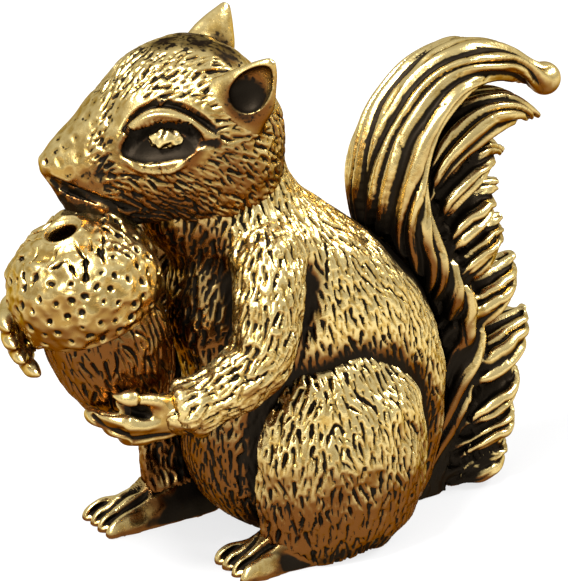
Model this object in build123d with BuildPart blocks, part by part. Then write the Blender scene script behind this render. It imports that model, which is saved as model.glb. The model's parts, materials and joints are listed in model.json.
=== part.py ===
"""Cast brass squirrel that sits up and holds an acorn.

The figurine is an incense stick holder: the stem on the acorn's cap has a blind hole for
the stick.  It is made of separate castings, soldered together on round pegs.

Frame: +Z up, the squirrel faces -Y, its left side is +X.  The origin is the centre of the
flat ground face under the torso, on the surface that the figurine stands on.
"""

from build123d import *
from math import cos, pi, radians, sin
import os

os.makedirs("parts", exist_ok=True)

# Joints between castings
peg_clearance = 0.03  # radial gap round a soldered peg
peg_end_gap = 0.15  # gap past the end of a peg
overrun = 2.0  # how far a cutting tool runs past the metal

# Torso: a pear with a flat ground face
torso_height = 28.6
torso_half_width = 8.4
torso_half_depth = 10.6
torso_middle_behind = 2.3  # how far the pear's middle lies behind the origin
# (height, half width, half depth, shift to the back), each a share of the size above
torso_section_shares = (
    (0.00, 0.60, 0.62, 1.85),
    (0.04, 0.74, 0.74, 1.52),
    (0.13, 0.86, 0.92, 1.12),
    (0.25, 0.93, 1.00, 1.00),
    (0.38, 0.95, 1.00, 1.02),
    (0.52, 0.95, 0.95, 0.87),
    (0.66, 0.90, 0.86, 0.43),
    (0.78, 0.82, 0.72, -0.30),
    (0.89, 0.67, 0.54, -1.35),
    (0.96, 0.50, 0.42, -1.88),
    (1.00, 0.42, 0.34, -2.02),
    (1.05, 0.30, 0.24, -2.15),
)
neck_section = -2  # the section where the head starts

# Head: a round skull that narrows to the nose, turned to the squirrel's right
skull_half_width = 6.2
skull_half_height = 6.5
head_back = 6.0  # from the middle of the skull to the back of the head
head_front = 11.3  # from the middle of the skull to the nose
head_side = -0.5
head_ahead = 7.7  # the middle of the skull lies this far before the origin
head_rise = 4.5  # and this far above the top of the torso
head_yaw = 18.5
# (way from the back of the head to the skull's middle, half width, half height, rise)
skull_section_shares = (
    (0.00, 0.12, 0.12, -0.07),
    (0.06, 0.38, 0.36, -0.07),
    (0.20, 0.64, 0.60, -0.07),
    (0.45, 0.87, 0.83, -0.05),
    (0.75, 0.98, 0.96, -0.02),
    (1.00, 1.00, 1.00, 0.00),
)
# (way from the skull's middle to the nose, half width, half height, rise)
snout_section_shares = (
    (0.18, 0.97, 0.98, -0.02),
    (0.37, 0.88, 0.92, -0.07),
    (0.55, 0.72, 0.79, -0.21),
    (0.72, 0.52, 0.60, -0.34),
    (0.86, 0.35, 0.38, -0.365),
    (0.95, 0.21, 0.20, -0.35),
    (1.00, 0.09, 0.08, -0.325),
)
mouth_section_shares = ((0.00, 1.00), (0.50, 1.00), (1.00, 0.30))
neck_peg_radius = 1.6
neck_peg_length = 3.4
mouth_crease_radius = 0.32
# the mouth's crease, from the middle of the skull: (side, ahead, rise)
mouth_crease_path = ((0.4, 11.1, -3.0), (1.7, 9.7, -3.6), (2.9, 8.1, -4.2), (4.0, 6.0, -4.7))

# Eyes: a bead in an almond socket under a raised lid
eye_socket_half_length = 3.20
eye_socket_half_height = 1.50
eye_socket_depth = 0.85
eye_bead_half_length = 1.30
eye_bead_half_height = 0.80
eye_bead_rise = 0.75
eye_bead_sink = 0.05  # the bead's middle lies this far under the floor of its socket
eye_bead_behind = 0.1  # and this far behind the middle of the socket
eye_bead_above = 0.25
eye_side = 5.35  # the eye's place, from the middle of the skull
eye_ahead = 3.5
eye_rise = 0.65
eye_turn = 66.0  # from straight ahead to the way that the eye looks
eye_upturn = 14.0
eye_tilt = 9.0  # lifts the socket's back corner
lid_radius = 0.36
# the lid's way over the eye, as shares of the socket's half length, half height and depth
lid_path_shares = (
    (-1.08, -0.05, -0.75),
    (-0.60, 0.95, -0.40),
    (0.00, 1.28, -0.30),
    (0.60, 1.05, -0.45),
    (1.08, 0.20, -0.85),
)

lid_section_shares = ((0.00, 0.40), (0.25, 1.00), (0.50, 1.00), (0.75, 1.00), (1.00, 0.40))

# Ears: cupped leaves
ear_root = (4.9, -1.9, 2.7)  # side, ahead and rise from the middle of the skull
ear_tip = (6.7, -4.1, 6.55)
ear_root_depth = 1.5  # how far the ear's blank starts inside the skull
ear_half_width = 2.3
ear_half_thickness = 1.05
ear_cup_share = 0.66  # the cup's size as a share of the ear's
ear_cup_middle_share = 0.62  # of the ear's length
ear_cup_ahead = 0.75  # how far the cup lies before the ear's middle
ear_turn = 75.0  # turns the cup from straight ahead to the side
# (height, half width, half thickness)
ear_section_shares = (
    (0.00, 1.02, 1.00),
    (0.30, 1.04, 1.00),
    (0.55, 0.95, 0.92),
    (0.76, 0.70, 0.76),
    (0.91, 0.42, 0.56),
    (1.00, 0.18, 0.26),
)

# Acorn: a dimpled cap with a drilled stem on a tapering nut
acorn_tilt = 22.0  # the stem leans to the front
acorn_seam_ahead = 16.4  # the middle of the seam between cap and nut, before the origin
acorn_seam_height = 20.8
cap_radius = 5.3
cap_rim_height = 0.7
cap_dome_height = 6.7
cap_dome_mid_radius_share = 0.90  # a point on the dome between rim and stem
cap_dome_mid_share = 0.80
stem_radius = 1.70
stem_root_radius = 2.5
stem_height = 0.5
dimple_radius = 0.40
dimple_depth = 0.28
dimple_row_twist = 9.0  # turns each row against the next, in dimples
# (height on the dome's curve from rim to stem, count round it)
dimple_rows = ((0.06, 24), (0.28, 21), (0.50, 18), (0.72, 14))
stick_hole_radius = 1.0
stick_hole_depth = 7.5
nut_radius = 4.5
nut_length = 11.8
nut_rim_step = 0.15  # the nut widens by this much under the cap
nut_belly_share = 0.09  # of nut_length, where the nut is widest
nut_taper_radius_share = 0.77  # of nut_radius
nut_taper_share = 0.62  # of nut_length
nut_tip_radius = 0.6
cap_spigot_radius = 2.6
cap_spigot_length = 3.0

# Arms
arm_radius = 2.60
elbow_radius = 2.30
wrist_radius = 1.70
shoulder_side = 5.6
shoulder_ahead = 5.4
shoulder_height = 24.0
elbow_side = 8.1
elbow_ahead = 7.5
elbow_height = 17.6
wrist_side = {"left": 6.6, "right": 7.0}
wrist_ahead = {"left": 12.6, "right": 13.6}
wrist_height = {"left": 14.5, "right": 18.4}
upper_arm_bow = 0.5  # how far the arm's middle bows out
forearm_bow = 0.3
# (way along the limb, share of the way from the first radius to the second)
arm_section_shares = ((0.00, 0.00), (0.50, 0.10), (1.00, 1.00))
shoulder_peg_radius = 1.0
shoulder_peg_length = 4.2  # from the middle of the shoulder
wrist_peg_radius = 0.8
wrist_peg_length = 1.3

# Paws: a palm beside the nut, a thumb and fingers that lie round it
paw_radius = {"left": 5.7, "right": 7.0}  # from the nut's axis to the paw's middle
paw_drop = {"left": 6.4, "right": 1.7}  # from the seam down the nut to the paw's middle
palm_half_width = 1.9
palm_half_thickness = 1.15
knuckle_angle = 32.0  # round the nut, from its side to its front
pad_half_width = 1.2
pad_root_radius = 3.0  # the pad reaches this deep into the nut before it is cut to fit
finger_radius = 0.66
finger_root_angle = 20.0
finger_bow = 0.3  # how far the middle of a finger bows out
# each finger's distance down the nut from the paw's middle, its end's angle round the nut and
# its end's distance from the nut's axis
finger_ends = {
    "left": ((-1.7, 32.0, 4.9), (-0.5, 73.0, 4.3), (0.6, 59.0, 4.3), (1.5, 44.0, 4.4)),
    "right": ((-2.3, 62.0, 6.3), (-1.1, 67.0, 6.3), (0.1, 70.0, 6.1), (1.3, 74.0, 5.5)),
}
# (way along the finger, radius)
finger_section_shares = ((0.00, 1.05), (0.55, 1.00), (0.88, 0.80), (1.00, 0.25))

# Haunches: round thighs that sit flat against pockets in the torso's sides
haunch_height = 16.2
haunch_half_width = 4.9
haunch_half_length = 7.4
haunch_side = 5.2
haunch_behind = {"left": 0.9, "right": -2.0}
haunch_seat_side = 5.4  # the flat seat's distance from the middle plane
haunch_peg_radius = 1.2
haunch_peg_length = 2.4
haunch_peg_height = 7.0
# (height, half width and half length)
haunch_section_shares = (
    (0.00, 0.58),
    (0.04, 0.70),
    (0.12, 0.85),
    (0.26, 0.97),
    (0.42, 1.00),
    (0.58, 0.97),
    (0.74, 0.84),
    (0.87, 0.63),
    (0.95, 0.41),
    (1.00, 0.14),
)

# Feet, with toes
foot_length = 9.4
foot_half_width = 2.15
foot_height = 3.4
foot_side = {"left": 5.6, "right": 6.1}
foot_heel_ahead = {"left": -1.4, "right": 2.9}
foot_splay = {"left": -2.0, "right": 3.0}
foot_peg_radius = 0.5
foot_peg_height = 0.7
foot_peg_side = 0.8  # the peg's distance from the foot's middle line
foot_peg_start = {"left": 7.2, "right": 5.5}  # from the heel to the front end of the peg's hole
foot_peg_root = 0.4  # the peg's length inside the foot, past that
foot_peg_length = 3.2  # and its length behind that
toe_spread = 5.0  # degrees between neighbouring toes
toe_places = (-1.5, -0.5, 0.5, 1.5)  # across the foot, in toe widths
toe_pitch = 1.0
toe_root_ahead = 6.8  # from the heel to the toe's root
toe_length = 3.3
toe_radius = 0.72
toe_height = 1.5
# (way along the toe, half width, height)
toe_section_shares = ((0.00, 1.00, 1.10), (0.50, 1.00, 1.00), (0.84, 0.80, 0.75), (1.00, 0.25, 0.25))
# (way from heel to toe, half width, height)
foot_section_shares = (
    (0.00, 0.55, 0.60),
    (0.10, 0.85, 0.88),
    (0.30, 0.95, 1.00),
    (0.55, 0.98, 0.92),
    (0.80, 1.00, 0.66),
    (0.93, 0.80, 0.45),
    (1.00, 0.45, 0.25),
)

# Tail: locks that rise from one root and fan out to the back
tail_height = 35.6
tail_root_behind = 12.3  # the reach of the locks is counted from here
tail_reach = 11.4
tail_half_width = 4.3
tail_lock_half_depth = 1.85
tail_curl_radius = 1.30
tail_peg_radius = 1.4
tail_peg_length = 3.0
tail_peg_height = 3.4
# ways through the tail as shares of the two sizes above: (reach, height)
tail_core_path_shares = (
    (0.12, -0.02),
    (0.15, 0.18),
    (0.11, 0.38),
    (-0.10, 0.56),
    (-0.31, 0.73),
    (-0.20, 0.855),
    (0.14, 0.93),
    (0.60, 0.92),
    (0.93, 0.868),
)
tail_lock_path_shares = (
    ((-0.25, 0.62), (-0.05, 0.73), (0.23, 0.81), (0.51, 0.83), (0.74, 0.81), (0.91, 0.785)),
    ((-0.18, 0.58), (0.00, 0.67), (0.23, 0.725), (0.45, 0.74), (0.61, 0.73)),
    ((-0.12, 0.52), (0.08, 0.585), (0.33, 0.635), (0.57, 0.665)),
    ((-0.05, 0.455), (0.18, 0.51), (0.42, 0.55), (0.61, 0.585)),
    ((0.00, 0.35), (0.27, 0.40), (0.52, 0.44), (0.71, 0.49)),
    ((0.09, 0.225), (0.33, 0.26), (0.60, 0.305), (0.82, 0.36)),
    ((0.09, 0.135), (0.33, 0.175), (0.56, 0.215), (0.69, 0.275)),
    ((0.08, 0.07), (0.31, 0.095), (0.52, 0.135), (0.65, 0.195)),
    ((0.05, 0.03), (0.26, 0.035), (0.47, 0.06), (0.60, 0.11)),
)
# (way along, half width, half depth)
tail_core_section_shares = (
    (0.00, 0.62, 1.75),
    (0.20, 0.78, 1.45),
    (0.40, 0.95, 1.30),
    (0.60, 1.00, 1.23),
    (0.78, 0.86, 1.00),
    (0.92, 0.50, 0.73),
    (1.00, 0.28, 0.66),
)
tail_lock_section_shares = (
    (0.00, 0.50, 0.80),
    (0.25, 0.76, 0.95),
    (0.50, 0.86, 1.00),
    (0.70, 0.74, 0.85),
    (0.86, 0.44, 0.52),
    (0.95, 0.22, 0.26),
    (1.00, 0.08, 0.09),
)

# An egg shape: (way along its half length, size)
egg_section_shares = (
    (-1.00, 0.10),
    (-0.92, 0.39),
    (-0.70, 0.71),
    (-0.38, 0.925),
    (0.00, 1.00),
    (0.38, 0.925),
    (0.70, 0.71),
    (0.92, 0.39),
    (1.00, 0.10),
)


def oval(origin, heading, side, half_side, half_other):
    """One oval section square to its heading, with half_side along side."""
    square_side = side - heading * side.dot(heading)
    with BuildSketch(Plane(origin=origin, x_dir=square_side, z_dir=heading)) as section:
        Ellipse(half_side, half_other)
    return section.sketch


def limb(points, side, section_sizes, mode=Mode.ADD):
    """Lofts oval sections along a smooth line: (way, half side, half other) each."""
    way = Spline(*points, mode=Mode.PRIVATE)
    sections = [
        oval(way @ share, way % share, side, half_side, half_other)
        for share, half_side, half_other in section_sizes
    ]
    loft(sections, mode=mode)


def egg(middle, heading, side, half_length, half_side, half_other, mode=Mode.ADD):
    """A rounded body with three half sizes, its length along heading."""
    sections = [
        oval(middle + heading * (way * half_length), heading, side, size * half_side,
             size * half_other)
        for way, size in egg_section_shares
    ]
    loft(sections, mode=mode)


def peg(start, heading, radius, length, mode=Mode.ADD):
    """A round peg, or a hole, from start along heading."""
    with BuildSketch(Plane(origin=start, z_dir=heading)) as section:
        Circle(radius)
    extrude(section.sketch, amount=length, mode=mode)


def peg_hole(start, heading, radius, length):
    """The hole that takes a peg, with its clearances."""
    peg(start, heading, radius + peg_clearance, length + peg_end_gap, Mode.SUBTRACT)


def write(piece, label):
    """Labels a finished piece and writes it under that name."""
    piece.part.label = label
    export_step(piece.part, f"parts/{label}.step")


# Directions and places that several pieces share
left = Vector(1, 0, 0)
back = Vector(0, 1, 0)
up = Vector(0, 0, 1)
sides = {"left": 1, "right": -1}
skull_middle = Vector(head_side, -head_ahead, torso_height + head_rise)
head_frame = Plane(origin=skull_middle).rotated((0, 0, -head_yaw))
nose_way = head_frame.y_dir * -1
acorn_axis = Vector(0, -sin(radians(acorn_tilt)), cos(radians(acorn_tilt)))
acorn_seam = Vector(0, -acorn_seam_ahead, acorn_seam_height)
acorn_frame = Plane(origin=acorn_seam, x_dir=left, z_dir=acorn_axis)
acorn_side = Plane(origin=acorn_seam, x_dir=left, z_dir=acorn_frame.y_dir * -1)
acorn_line = Axis(acorn_seam, acorn_axis)
neck_foot = Vector(0, torso_section_shares[neck_section][3] * torso_middle_behind, torso_height)


def in_head(side, ahead, rise):
    """A place measured from the middle of the skull, in the head's directions."""
    return head_frame.from_local_coords(Vector(side, -ahead, rise))


def by_nut(way, angle, drop, radius):
    """A place beside the nut: angle from its side to its front, drop from the seam."""
    turn = radians(angle)
    place = Vector(way * radius * cos(turn), -radius * sin(turn), -drop)
    return acorn_frame.from_local_coords(place)


def foot_place(name, side, ahead, height):
    """A place measured from the heel of one foot."""
    heel = Vector(sides[name] * foot_side[name], -foot_heel_ahead[name], 0)
    frame = Plane(origin=heel).rotated((0, 0, sides[name] * foot_splay[name]))
    return frame.from_local_coords(Vector(side, -ahead, height))


# Blank shapes that neighbouring castings are cut to fit
with BuildPart() as torso_blank:
    torso_sections = []
    for height, width, depth, shift in torso_section_shares:
        with BuildSketch(Plane.XY.offset(height * torso_height)) as torso_section:
            with Locations((0, shift * torso_middle_behind)):
                Ellipse(width * torso_half_width, depth * torso_half_depth)
        torso_sections.append(torso_section.sketch)
    loft(torso_sections)

with BuildPart() as head_blank:
    head_sections = [
        (head_back * (way - 1), width, height, rise)
        for way, width, height, rise in skull_section_shares
    ] + [
        (head_front * way, width, height, rise)
        for way, width, height, rise in snout_section_shares
    ]
    loft([
        oval(
            in_head(0, ahead, rise * skull_half_height),
            nose_way,
            head_frame.x_dir,
            width * skull_half_width,
            height * skull_half_height,
        )
        for ahead, width, height, rise in head_sections
    ])

haunch_blanks = {}
for name, way in sides.items():
    with BuildPart() as haunch_blank:
        haunch_sections = []
        for height, size in haunch_section_shares:
            with BuildSketch(Plane.XY.offset(height * haunch_height)) as haunch_section:
                with Locations((way * haunch_side, haunch_behind[name])):
                    Ellipse(size * haunch_half_width, size * haunch_half_length)
            haunch_sections.append(haunch_section.sketch)
        loft(haunch_sections)
        seat = Plane(origin=(way * haunch_seat_side, 0, 0), z_dir=(way, 0, 0))
        split(bisect_by=seat, keep=Keep.TOP)
    haunch_blanks[name] = haunch_blank.part

# Torso
with BuildPart() as torso:
    add(torso_blank.part)
    for haunch_shape in haunch_blanks.values():
        add(haunch_shape, mode=Mode.SUBTRACT)
    peg(neck_foot - up * overrun, up, neck_peg_radius, overrun + neck_peg_length)
    for name, way in sides.items():
        peg_hole(
            Vector(way * haunch_seat_side, haunch_behind[name], haunch_peg_height),
            left * -way,
            haunch_peg_radius,
            haunch_peg_length,
        )
        peg_hole(
            Vector(way * shoulder_side, -shoulder_ahead, shoulder_height),
            (back - left * way).normalized(),
            shoulder_peg_radius,
            shoulder_peg_length,
        )
    peg_hole(
        Vector(0, tail_root_behind + overrun, tail_peg_height),
        back * -1,
        tail_peg_radius,
        overrun + tail_peg_length,
    )
write(torso, "torso")

# Haunches
for name, way in sides.items():
    with BuildPart() as haunch:
        add(haunch_blanks[name])
        peg(
            Vector(way * (haunch_seat_side + overrun), haunch_behind[name], haunch_peg_height),
            left * -way,
            haunch_peg_radius,
            overrun + haunch_peg_length,
        )
        peg_hole(
            foot_place(name, way * foot_peg_side, foot_peg_start[name], foot_peg_height),
            (foot_place(name, 0, 0, 0) - foot_place(name, 0, 1, 0)),
            foot_peg_radius,
            foot_peg_length,
        )
    write(haunch, f"{name}_haunch")

# Feet
for name, way in sides.items():
    with BuildPart() as foot:
        foot_way = foot_place(name, 0, 1, 0) - foot_place(name, 0, 0, 0)
        foot_across = foot_place(name, 1, 0, 0) - foot_place(name, 0, 0, 0)
        loft([
            oval(
                foot_place(name, 0, along * foot_length, 0),
                foot_way,
                foot_across,
                width * foot_half_width,
                height * foot_height,
            )
            for along, width, height in foot_section_shares
        ])
        for place in toe_places:
            toe_root = foot_place(name, place * toe_pitch, toe_root_ahead, 0)
            toe_way = foot_way.rotate(Axis.Z, place * toe_spread) * toe_length
            limb(
                [toe_root, toe_root + toe_way / 2, toe_root + toe_way],
                foot_across,
                [
                    (along, width * toe_radius, height * toe_height)
                    for along, width, height in toe_section_shares
                ],
            )
        split(bisect_by=Plane.XY, keep=Keep.TOP)
        add(haunch_blanks[name], mode=Mode.SUBTRACT)
        add(torso_blank.part, mode=Mode.SUBTRACT)
        peg(
            foot_place(name, way * foot_peg_side, foot_peg_start[name] + foot_peg_root,
                       foot_peg_height),
            foot_way * -1,
            foot_peg_radius,
            foot_peg_root + foot_peg_length,
        )
    write(foot, f"{name}_foot")

# Head
def eye_place(way):
    """The eye's middle, the way it looks, its length to the back and its height."""
    turn, upturn = radians(eye_turn), radians(eye_upturn)
    looks = in_head(way * sin(turn) * cos(upturn), cos(turn) * cos(upturn), sin(upturn))
    looks -= skull_middle
    along = up.cross(looks).normalized() * way
    along = along.rotate(Axis((0, 0, 0), looks), way * eye_tilt)
    return in_head(way * eye_side, eye_ahead, eye_rise), looks, along, looks.cross(along) * way


with BuildPart() as head:
    add(head_blank.part)
    for way in sides.values():
        eye_middle, eye_way, eye_along, eye_above = eye_place(way)
        limb(
            [
                eye_middle + eye_along * (along * eye_socket_half_length)
                + eye_above * (above * eye_socket_half_height)
                + eye_way * (out * eye_socket_depth)
                for along, above, out in lid_path_shares
            ],
            eye_way,
            [(along, size * lid_radius, size * lid_radius) for along, size in lid_section_shares],
        )
        egg(eye_middle, eye_along, eye_above, eye_socket_half_length, eye_socket_half_height,
            eye_socket_depth, Mode.SUBTRACT)
        limb(
            [in_head(way * side, ahead, rise) for side, ahead, rise in mouth_crease_path],
            up,
            [
                (along, size * mouth_crease_radius, size * mouth_crease_radius)
                for along, size in mouth_section_shares
            ],
            Mode.SUBTRACT,
        )
    add(torso.part, mode=Mode.SUBTRACT)
    peg_hole(neck_foot, up, neck_peg_radius, neck_peg_length)
write(head, "head")

# Eyes
for name, way in sides.items():
    with BuildPart() as eye:
        eye_middle, eye_way, eye_along, eye_above = eye_place(way)
        egg(eye_middle - eye_way * (eye_socket_depth + eye_bead_sink)
            + eye_along * eye_bead_behind + eye_above * eye_bead_above, eye_along, eye_above,
            eye_bead_half_length, eye_bead_half_height, eye_bead_rise)
        add(head.part, mode=Mode.SUBTRACT)
    write(eye, f"{name}_eye")

# Ears
for name, way in sides.items():
    with BuildPart() as ear:
        root = in_head(way * ear_root[0], ear_root[1], ear_root[2])
        tip = in_head(way * ear_tip[0], ear_tip[1], ear_tip[2])
        ear_axis = (tip - root).normalized()
        ear_start = root - ear_axis * ear_root_depth
        ear_length = (tip - ear_start).length
        ear_facing = (
            in_head(way * sin(radians(ear_turn)), cos(radians(ear_turn)), 0) - skull_middle
        )
        ear_across = ear_axis.cross(ear_facing).normalized()
        ear_facing = ear_across.cross(ear_axis).normalized()
        loft([
            oval(ear_start + ear_axis * (height * ear_length), ear_axis, ear_across,
                 width * ear_half_width, thickness * ear_half_thickness)
            for height, width, thickness in ear_section_shares
        ])
        egg(
            ear_start + ear_axis * (ear_length * ear_cup_middle_share)
            + ear_facing * ear_cup_ahead,
            ear_axis,
            ear_across,
            ear_length * ear_cup_share / 2,
            ear_half_width * ear_cup_share,
            ear_half_thickness,
            Mode.SUBTRACT,
        )
        add(head_blank.part, mode=Mode.SUBTRACT)
    write(ear, f"{name}_ear")

# Tail
def tail_limb(path_shares, section_shares):
    """One limb of the tail, from shares of its height, reach, width and depth."""
    limb(
        [
            Vector(0, tail_root_behind + reach * tail_reach, height * tail_height)
            for reach, height in path_shares
        ],
        left,
        [
            (way, width * tail_half_width, depth * tail_lock_half_depth)
            for way, width, depth in section_shares
        ],
    )


with BuildPart() as tail:
    tail_limb(tail_core_path_shares, tail_core_section_shares)
    reach, height = tail_core_path_shares[-1]
    with Locations((0, tail_root_behind + reach * tail_reach, height * tail_height)):
        Sphere(tail_curl_radius)
    for path_shares in tail_lock_path_shares:
        tail_limb(path_shares, tail_lock_section_shares)
    add(torso_blank.part, mode=Mode.SUBTRACT)
    split(bisect_by=Plane.XY, keep=Keep.TOP)
    peg(
        Vector(0, tail_root_behind + overrun / 2, tail_peg_height),
        back * -1,
        tail_peg_radius,
        tail_peg_length + overrun / 2,
    )
write(tail, "tail")

# Acorn
with BuildPart() as acorn_nut:
    with BuildSketch(acorn_side):
        with BuildLine():
            nut_rim = (nut_radius - nut_rim_step, 0)
            nut_tip = (nut_tip_radius, -nut_length)
            Spline(
                nut_rim,
                (nut_radius, -nut_belly_share * nut_length),
                (nut_taper_radius_share * nut_radius, -nut_taper_share * nut_length),
                nut_tip,
            )
            Polyline(nut_tip, (0, -nut_length), (0, 0), nut_rim)
        make_face()
    revolve(axis=acorn_line)
    add(torso_blank.part, mode=Mode.SUBTRACT)
    peg_hole(acorn_seam, acorn_axis * -1, cap_spigot_radius, cap_spigot_length)
write(acorn_nut, "acorn_nut")

with BuildPart() as acorn_cap:
    stem_top = cap_dome_height + stem_height
    with BuildSketch(acorn_side):
        with BuildLine():
            cap_edge = (cap_radius, cap_rim_height)
            cap_shoulder = (stem_root_radius, cap_dome_height)
            cap_curve = ThreePointArc(
                cap_edge,
                (cap_radius * cap_dome_mid_radius_share, cap_dome_height * cap_dome_mid_share),
                cap_shoulder,
            )
            Polyline(cap_shoulder, (stem_radius, stem_top), (0, stem_top), (0, 0),
                     (nut_radius, 0), cap_edge)
        make_face()
    revolve(axis=acorn_line)
    add(head_blank.part, mode=Mode.SUBTRACT)
    for way, count in dimple_rows:
        edge = cap_curve @ way
        outwards = (cap_curve % way).cross(up) * -1
        for number in range(count):
            turn = 2 * pi * (number + dimple_row_twist * way) / count
            dimple_foot = edge - outwards * dimple_depth
            dimple_way = Vector(outwards.X * cos(turn), outwards.X * sin(turn), outwards.Y)
            dimple_start = Vector(dimple_foot.X * cos(turn), dimple_foot.X * sin(turn), dimple_foot.Y)
            peg(
                acorn_frame.from_local_coords(dimple_start),
                acorn_frame.from_local_coords(dimple_way) - acorn_seam,
                dimple_radius,
                dimple_depth + overrun,
                Mode.SUBTRACT,
            )
    peg(acorn_seam + acorn_axis * overrun, acorn_axis * -1, cap_spigot_radius,
        overrun + cap_spigot_length)
    peg(
        acorn_seam + acorn_axis * stem_top,
        acorn_axis * -1,
        stick_hole_radius,
        stick_hole_depth,
        Mode.SUBTRACT,
    )
write(acorn_cap, "acorn_cap")

# Arms and paws
def arm_limb(start, end, bow, start_radius, end_radius):
    """A length of arm that bows out in its middle and tapers to its end."""
    radii = [
        (along, start_radius + share * (end_radius - start_radius))
        for along, share in arm_section_shares
    ]
    limb([start, (start + end) / 2 + bow, end], left,
         [(along, radius, radius) for along, radius in radii])


for name, way in sides.items():
    shoulder = Vector(way * shoulder_side, -shoulder_ahead, shoulder_height)
    elbow = Vector(way * elbow_side, -elbow_ahead, elbow_height)
    wrist = Vector(way * wrist_side[name], -wrist_ahead[name], wrist_height[name])
    shoulder_peg_way = (back - left * way).normalized()
    palm_way = by_nut(way, knuckle_angle, paw_drop[name], paw_radius[name])
    wrist_way = (palm_way - elbow).normalized()
    with BuildPart() as arm:
        arm_limb(shoulder, elbow, left * (way * upper_arm_bow), arm_radius, elbow_radius)
        arm_limb(elbow, wrist, left * (way * forearm_bow), elbow_radius, wrist_radius)
        with Locations(shoulder):
            Sphere(arm_radius)
        with Locations(elbow):
            Sphere(elbow_radius)
        add(torso_blank.part, mode=Mode.SUBTRACT)
        add(haunch_blanks[name], mode=Mode.SUBTRACT)
        add(head_blank.part, mode=Mode.SUBTRACT)
        add(acorn_nut.part, mode=Mode.SUBTRACT)
        peg(shoulder, shoulder_peg_way, shoulder_peg_radius, shoulder_peg_length)
        arm_body = arm.part
        peg(wrist - wrist_way * overrun / 2, wrist_way, wrist_peg_radius,
            overrun / 2 + wrist_peg_length)
    write(arm, f"{name}_arm")

    with BuildPart() as paw:
        limb(
            [wrist, (wrist + palm_way) / 2, palm_way],
            acorn_axis,
            [(0.0, wrist_radius, wrist_radius), (0.5, palm_half_width, palm_half_thickness),
             (1.0, palm_half_width, palm_half_thickness)],
        )
        pad_root = by_nut(way, finger_root_angle, paw_drop[name], pad_root_radius)
        pad_end = by_nut(way, finger_root_angle, paw_drop[name], paw_radius[name])
        egg((pad_root + pad_end) / 2, (pad_end - pad_root).normalized(), acorn_axis,
            (pad_end - pad_root).length / 2, pad_half_width, pad_half_width)
        for offset, end, end_radius in finger_ends[name]:
            drop = paw_drop[name] + offset
            middle_angle = (finger_root_angle + end) / 2
            middle_radius = (paw_radius[name] + end_radius) / 2
            limb(
                [
                    by_nut(way, finger_root_angle, drop, paw_radius[name]),
                    by_nut(way, middle_angle, drop, middle_radius + finger_bow),
                    by_nut(way, end, drop, end_radius),
                ],
                acorn_axis,
                [
                    (along, size * finger_radius, size * finger_radius)
                    for along, size in finger_section_shares
                ],
            )
        add(arm_body, mode=Mode.SUBTRACT)
        add(acorn_nut.part, mode=Mode.SUBTRACT)
        add(acorn_cap.part, mode=Mode.SUBTRACT)
        peg_hole(wrist - wrist_way * overrun / 2, wrist_way, wrist_peg_radius,
                 overrun / 2 + wrist_peg_length)
    write(paw, f"{name}_paw")
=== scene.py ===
"""A small cast brass squirrel with an acorn: hair cut in, hollows blackened, ridges polished."""
import json
import math
from itertools import product

import bpy
import numpy as np
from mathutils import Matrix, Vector, noise
from mathutils.bvhtree import BVHTree


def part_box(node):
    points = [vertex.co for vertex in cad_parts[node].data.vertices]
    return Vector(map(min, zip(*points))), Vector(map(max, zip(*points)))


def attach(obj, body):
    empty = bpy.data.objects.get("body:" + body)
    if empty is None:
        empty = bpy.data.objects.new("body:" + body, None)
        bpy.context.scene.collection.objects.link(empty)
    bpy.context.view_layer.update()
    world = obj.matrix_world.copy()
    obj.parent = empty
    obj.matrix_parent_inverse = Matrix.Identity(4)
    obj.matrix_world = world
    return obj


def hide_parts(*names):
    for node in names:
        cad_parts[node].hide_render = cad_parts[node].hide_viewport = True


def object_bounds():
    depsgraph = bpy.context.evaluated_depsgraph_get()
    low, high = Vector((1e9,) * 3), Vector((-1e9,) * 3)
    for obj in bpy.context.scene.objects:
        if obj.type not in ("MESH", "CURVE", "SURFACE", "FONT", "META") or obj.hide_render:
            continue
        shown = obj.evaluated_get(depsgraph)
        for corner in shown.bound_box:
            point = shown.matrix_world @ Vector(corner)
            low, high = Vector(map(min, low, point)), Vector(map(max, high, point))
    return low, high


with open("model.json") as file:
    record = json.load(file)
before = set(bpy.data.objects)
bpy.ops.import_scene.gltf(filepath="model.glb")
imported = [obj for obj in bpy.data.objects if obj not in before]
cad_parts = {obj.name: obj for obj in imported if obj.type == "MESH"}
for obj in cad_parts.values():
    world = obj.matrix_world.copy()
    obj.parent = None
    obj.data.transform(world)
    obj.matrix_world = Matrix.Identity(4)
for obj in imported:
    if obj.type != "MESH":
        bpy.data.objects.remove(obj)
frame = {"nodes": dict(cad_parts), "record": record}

bl_info = {
    "name": "Brass Squirrel",
    "version": (1, 0, 0),
    "blender": (4, 5, 0),
    "location": "View3D > Sidebar > Squirrel",
    "description": "Tools, darkens and polishes the castings of a brass squirrel",
    "category": "Object",
}

CAD_BOX = [list(corner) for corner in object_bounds()]
MM = 0.001  # one millimetre in the scene's metres
SIDES = {"left": np.ones(3), "right": np.array((-1.0, 1.0, 1.0))}  # what mirrors a place

# The acorn's frame, from the hole in its stem
HOLE = next(mount for mount in frame["record"]["mounts"] if mount["name"] == "stick_hole")
ACORN_AXIS = np.array(HOLE["axis"])
STEM_TOP = np.array(HOLE["pos_m"]) / MM
HOLE_RADIUS = HOLE["dims"]["r_mm"]
CAP_HEIGHT = 7.2  # from the seam to the top of the stem
ACORN_SEAM = STEM_TOP - ACORN_AXIS * CAP_HEIGHT
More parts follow.
